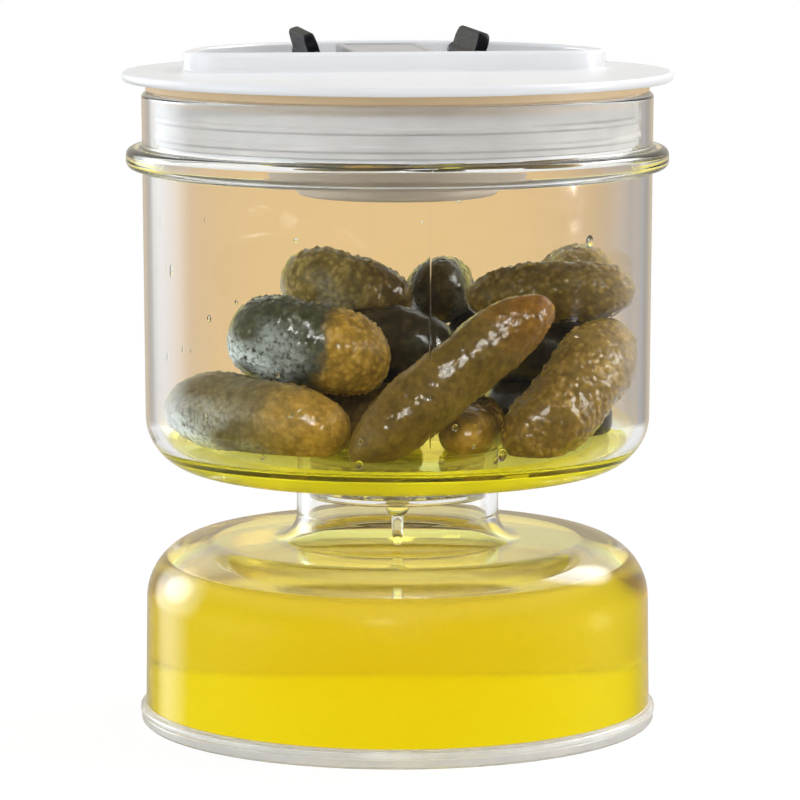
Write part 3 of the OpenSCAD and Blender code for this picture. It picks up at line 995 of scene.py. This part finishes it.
SEAL_IN = SKIRT_R + 0.02
seal_outline = [(SEAL_IN, 119, 0.3), (SEAL_R, 119, 0.4)]
for rib_z in SEAL_RIBS:
    seal_outline += [(SEAL_R, rib_z - 0.8, 0.2), (SEAL_RIB_R, rib_z - 0.35, 0.3)]
    seal_outline += [(SEAL_RIB_R, rib_z + 0.35, 0.3), (SEAL_R, rib_z + 0.8, 0.2)]
seal_outline += [(SEAL_R, 129.6, 0.3), (SEAL_TOP_R, 129.6, 0.35), (SEAL_TOP_R, UNDER_BRIM, 0.3)]
seal = revolve("lid_seal_band", rounded(seal_outline + [(SEAL_IN, UNDER_BRIM, 0.3)]))
place(seal, "lid_seal", "cover", SILICONE)


def plate_loop(inset, z):
    """Outline of the centre plate at one height, moved inward by the inset, with rounded corners."""
    x, y0, y1 = PLATE_HALF - inset, PLATE_Y[0] + inset, PLATE_Y[1] - inset
    r = max(0.35, 1.2 - inset)
    loop = []
    corners = ((x - r, y1 - r), (r - x, y1 - r), (r - x, y0 + r), (x - r, y0 + r))
    for quarter, (cx, cy) in enumerate(corners):
        for k in range(9):
            t = math.radians(90 * quarter + 11.25 * k)
            loop.append(((cx + r * math.cos(t)) * MM, (cy + r * math.sin(t)) * MM, z * MM))
    return loop


def build_centre_plate():
    """Plate between the tabs: a rounded slab with a soft raised border."""
    loops = [plate_loop(inset, z) for inset, z in (
        (0.15, LID_Z), (0, 133.65), (0, 136.8), (0.06, 136.97), (0.15, 137.06), (0.3, 137.1), (1.3, 137.1),
        (1.45, 137.06), (1.6, 136.9), (1.75, 136.8), (1.95, 136.76))]
    count = len(loops[0])
    faces = [list(range(count))[::-1]] + band_faces(len(loops), count, closed=False)
    faces.append([(len(loops) - 1) * count + k for k in range(count)])
    obj = new_object("centre_plate_slab", [v for loop in loops for v in loop], faces)
    obj.data.set_sharp_from_angle(angle=math.radians(50))
    return obj


PLATE_GREY = moulded(
    "plate_grey", ((0.42, 0.42, 0.435), (0.5, 0.5, 0.51)), (7, 4), (1.2, 0.3, 0.45), (0.4, 0.01, 0.35),
    IOR=1.49)
place(build_centre_plate(), "centre_plate", "cover", PLATE_GREY)

# Tabs and pins


def tab_section(reach, shrink):
    """Keyhole outline of a tab in its own frame: a knuckle round the pin and a blade of that reach above."""
    knuckle, half = KNUCKLE_R - shrink, TAB_HALF - shrink
    neck = math.asin(min(1, half / knuckle))
    points = []
    for k in range(25):
        t = math.pi / 2 + neck + (2 * math.pi - 2 * neck) * k / 24
        points.append((knuckle * math.cos(t), knuckle * math.sin(t)))
    low = knuckle * math.cos(neck)
    tip = max(reach - shrink, low + 1.0)
    edge = TAB_TIP_ROUND
    for k in range(1, 7):
        points.append((half, low + (tip - edge - low) * k / 6))
    for k in range(1, 7):
        t = math.pi / 2 * k / 6
        points.append((half - edge + edge * math.cos(t), tip - edge + edge * math.sin(t)))
    mirror = [(-x, z) for x, z in points[25:]][::-1]
    return points + mirror


def build_tab(name, s):
    """Leaning tab on the side s, with rounded ends and a bore for its pin."""
    length = TAB_Y[1] - TAB_Y[0]
    stations = [(0, 0.35), (0.1, 0.15), (0.35, 0)]
    stations += [(0.35 + (length - 0.7) * (k / 40), 0) for k in range(1, 40)]
    stations += [(length - 0.35, 0), (length - 0.1, 0.15), (length, 0.35)]
    lean = math.radians(TAB_LEAN) * s
    loops = []
    for y, shrink in stations:
        end = min(y, length - y)
        top = TAB_REACH
        if end < TAB_CORNER:
            rise = math.sqrt(max(0, TAB_CORNER ** 2 - (TAB_CORNER - end) ** 2))
            top = TAB_REACH - TAB_CORNER + rise
        loops.append([(x, y, z) for x, z in tab_section(top, shrink)])
    count = len(loops[0])
    bore = []
    for k in range(count):
        x, z = loops[0][k][0], loops[0][k][2]
        t = math.atan2(z, x)
        bore.append((PIN_BORE * math.cos(t), PIN_BORE * math.sin(t)))
    loops.append([(x, length, z) for x, z in bore])
    loops.append([(x, 0, z) for x, z in bore])
    verts = []
    for loop in loops:
        for x, y, z in loop:
            verts.append(((s * HINGE_X + x * math.cos(lean) + z * math.sin(lean)) * MM, (y + TAB_Y[0]) * MM,
                          (HINGE_Z - x * math.sin(lean) + z * math.cos(lean)) * MM))
    obj = new_object(name, verts, band_faces(len(loops), count))
    face_outward(obj, 38)
    return obj


def build_pin(name, s):
    """Pin along Y with domed ends."""
    y0, y1 = PIN_Y
    points = rounded([(0, y0, 0), (PIN_R, y0, 0.3), (PIN_R, y1, 0.3), (0, y1, 0)], closed=False)
    verts, faces, normals = revolve_data(points, turns=40, closed=False)
    turned = [(x + s * HINGE_X * MM, z, -y + HINGE_Z * MM) for x, y, z in verts]
    turned_normals = [(n[0], n[2], -n[1]) for n in normals]
    return new_object(name, turned, faces, turned_normals)


BLACK = moulded(
    "tab_black", ((0.005, 0.005, 0.006), (0.01, 0.01, 0.012)), (3, 4), (0.9, 0.35, 0.5), (0.35, 0.006, 0.3),
    IOR=1.45, Specular_IOR_Level=0.06, Coat_Weight=0.03, Coat_Roughness=0.2)
STEEL = pin_steel()
for side, s in (("left", -1), ("right", 1)):
    place(build_tab("tab_%s_blade" % side, s), "tab_" + side, side + "_tab", BLACK)
    place(build_pin("pin_%s_rod" % side, s), "pin_" + side, "cover", STEEL)

# Stage, light and camera

VIEW_TURN = 7
FLOOR_R = 340
LAMP_AIM = Vector((0, 0, 0.07))
PICTURE_PX = 800
FOCAL_PX = 4428
SHIFT_PX = 2.5
SENSOR = 36


def build_floor():
    """Pale floor: plain white to the camera and through clear walls, dimmed a little by the shadow."""
    p = Paint("floor")
    p.set(Roughness=0.9, Specular_IOR_Level=0.1)
    p.colour(p.ramp(p.noise(300, 2), (0.3, (0.93, 0.93, 0.93)), (0.7, (0.95, 0.95, 0.95))))
    path = p.add("LightPath")
    seen = p.math("MAXIMUM", path.outputs["Is Camera Ray"], path.outputs["Is Transmission Ray"])
    seen = p.math("MULTIPLY", seen, p.math("LESS_THAN", path.outputs["Diffuse Depth"], 0.5))
    lit = p.blend(p.math("MULTIPLY", seen, 0.8), p.bsdf.outputs[0], p.glow(1.06))
    split = p.add("SeparateXYZ")
    p.link(p.coord.outputs["Object"], split.inputs[0])
    front = p.range(split.outputs["Y"], 0.0, -0.05, 0.0, 1.0)
    mirrored = p.math("MULTIPLY", p.math("GREATER_THAN", path.outputs["Glossy Depth"], 0.5), front)
    p.blend(mirrored, lit, p.glow(0.06))
    verts, faces, _ = revolve_data([(0, -0.02), (FLOOR_R, -0.02)], turns=96, closed=False)
    floor = new_object("floor", verts, faces)
    floor.data.materials.append(p.mat)
    floor.visible_glossy = False


class Sky(Nodes):
    """The world's node tree: plain white to the camera, a studio with tan walls through the clear plastic."""

    def __init__(self):
        world = bpy.data.worlds.new("studio")
        bpy.context.scene.world = world
        super().__init__(world)
        self.path = self.add("LightPath")
        self.way = self.add("TexCoord").outputs["Generated"]
        split = self.add("SeparateXYZ")
        self.link(self.way, split.inputs[0])
        self.height = split.outputs["Z"]
        self.back = self.toward(0, 0)
        turn = self.math("ARCTAN2", split.outputs["X"], split.outputs["Y"])
        turn = self.math("MULTIPLY", self.math("SUBTRACT", turn, math.radians(VIEW_TURN)), 4.0)
        self.right = self.between(self.math("SINE", turn), 0.05, 0.8)
        self.facing = self.math("MULTIPLY", self.math("ADD", self.math("COSINE", turn), 1.0), 0.5)

    def between(self, value, low, high):
        """Rises smoothly from 0 to 1 as the value goes from low to high."""
        return self.range(value, low, high, shape="SMOOTHSTEP")

    def toward(self, turn, lift):
        """Cosine between a ray and a direction, given in degrees right of the back and up."""
        turn, lift = math.radians(turn + VIEW_TURN), math.radians(lift)
        flat = math.cos(lift)
        dot = self.add("VectorMath", operation="DOT_PRODUCT")
        self.link(self.way, dot.inputs[0])
        dot.inputs[1].default_value = (math.sin(turn) * flat, math.cos(turn) * flat, math.sin(lift))
        return dot.outputs["Value"]

    def window(self, colour, turn, lift, inner, outer, light):
        """Adds a round window with a soft edge to a colour: its direction and its radii in degrees."""
        cosine = self.toward(turn, lift)
        fall = self.between(cosine, math.cos(math.radians(outer)), math.cos(math.radians(inner)))
        return self.mix(fall, colour, light, "ADD")

    def through_plastic(self):
        """Colour for rays that have passed through clear plastic, by their height and turn."""
        low = self.ramp(self.facing, (0.0, (0.84, 0.82, 0.8)), (0.25, (0.7, 0.68, 0.66)),
                        (0.5, (0.48, 0.45, 0.42)), (0.72, (0.55, 0.47, 0.39)),
                        (0.88, (0.76, 0.6, 0.45)), (1.0, (0.93, 0.65, 0.31)))
        low = self.mix(self.right, low, (0.72, 0.72, 0.74), "MULTIPLY")
        low = self.mix(self.between(self.height, -0.19, -0.145), (0.95, 0.95, 0.93), low)
        steep = self.between(self.height, 0.181, 0.19)
        high = self.ramp(steep, (0.0, (1.2, 1.02, 0.26)), (1.0, (1.2, 1.34, 0.6)))
        high = self.mix(self.between(self.height, 0.23, 0.32), high, (0.92, 0.92, 0.9))
        through = self.mix(self.between(self.height, -0.06, 0.01), low, high)
        rising = self.between(self.height, 0.183, 0.19)
        rising = self.math("SUBTRACT", rising, self.between(self.height, 0.26, 0.32))
        bright = self.math("MAXIMUM", self.between(self.back, -0.2, 0.8), rising)
        mirrored = self.mix(bright, (0.06, 0.06, 0.06), through)
        wet = self.window(mirrored, 108, 25, 5, 14, (42.0, 42.0, 41.0))
        wet = self.window(wet, 175, 38, 5, 16, (18.0, 18.0, 17.5))
        deep = self.math("GREATER_THAN", self.path.outputs["Transmission Depth"], 2.5)
        mirrored = self.mix(deep, mirrored, wet)
        through = self.mix(self.path.outputs["Glossy Depth"], through, mirrored)
        return self.mix(self.path.outputs["Diffuse Depth"], through, (0.07, 0.07, 0.07))

    def mirror(self):
        """Colour that shiny surfaces mirror: a dim room with a pale ceiling and four windows."""
        shine = self.mix(self.between(self.height, 0.25, 0.65), (0.05, 0.05, 0.05), (0.6, 0.61, 0.62))
        shine = self.window(shine, -53, 9, 7, 27, (2.6, 2.9, 3.2))
        shine = self.window(shine, -53, 13, 2, 15, (4.5, 4.5, 4.4))
        shine = self.window(shine, 0, 12, 15, 52, (0.56, 0.52, 0.44))
        return self.window(shine, 46, 38, 2, 18, (8.0, 8.0, 7.7))

    def build(self):
        colour = self.mix(self.path.outputs["Is Glossy Ray"], (0.35, 0.36, 0.37), self.mirror())
        colour = self.mix(self.path.outputs["Is Transmission Ray"], colour, self.through_plastic())
        colour = self.mix(self.path.outputs["Is Camera Ray"], colour, (1.0, 1.0, 1.0))
        back = self.add("Background")
        self.link(colour, back.inputs[0])
        self.link(back.outputs[0], self.add("OutputWorld").inputs["Surface"])


def soft_light(name, at, wide, tall, radiance, colour=(1, 1, 1), glints=True):
    """Oval lamp of that radiance. The camera and the clear walls don't see it, but wet skin does."""
    data = bpy.data.lights.new(name, "AREA")
    data.shape = "ELLIPSE"
    data.size = wide
    data.size_y = tall
    data.energy = radiance * math.pi * wide * tall * math.pi / 4
    data.color = colour
    lamp = bpy.data.objects.new(name, data)
    lamp.location = at
    lamp.rotation_euler = (LAMP_AIM - Vector(at)).to_track_quat("-Z", "Y").to_euler()
    data.cycles.use_multiple_importance_sampling = False
    lamp.visible_camera = False
    lamp.visible_glossy = glints
    bpy.context.scene.collection.objects.link(lamp)


def build_camera():
    yaw = math.radians(VIEW_TURN)
    away, height, pitch = 0.9, 0.186, math.radians(7.6)
    data = bpy.data.cameras.new("camera")
    data.sensor_width = SENSOR
    data.lens = FOCAL_PX / PICTURE_PX * SENSOR
    camera = bpy.data.objects.new("camera", data)
    camera.location = (-math.sin(yaw) * away, -math.cos(yaw) * away, height)
    camera.rotation_euler = (math.pi / 2 - pitch, 0, -yaw - SHIFT_PX / FOCAL_PX)
    bpy.context.scene.collection.objects.link(camera)
    bpy.context.scene.camera = camera


build_floor()
Sky().build()
soft_light("top_box", (0, -0.1, 1.1), 1.1, 1.1, 1.1, (0.98, 0.99, 1.0), False)
soft_light("front_box", (-0.25, -1.1, 0.25), 0.8, 0.5, 0.7, (1, 1, 1), False)
soft_light("front_spark", (-0.25, -1.0, 0.75), 0.16, 0.16, 45.0)
soft_light("left_box", (-0.95, -0.3, 0.16), 0.6, 0.5, 3.4, (0.92, 0.97, 1.0))
soft_light("right_key", (0.72, 0.4, 0.68), 0.2, 0.14, 52.0, (1.0, 0.98, 0.95))
soft_light("right_side", (0.95, -0.2, 0.14), 0.16, 0.4, 24.0)
soft_light("left_rim", (-0.7, 0.5, 0.3), 0.7, 0.9, 1.5, (1, 1, 1), False)
build_camera()

scene = bpy.context.scene
scene.view_settings.view_transform = "Standard"
scene.cycles.max_bounces = 24
scene.cycles.transmission_bounces = 24
scene.cycles.glossy_bounces = 8
scene.cycles.transparent_max_bounces = 32
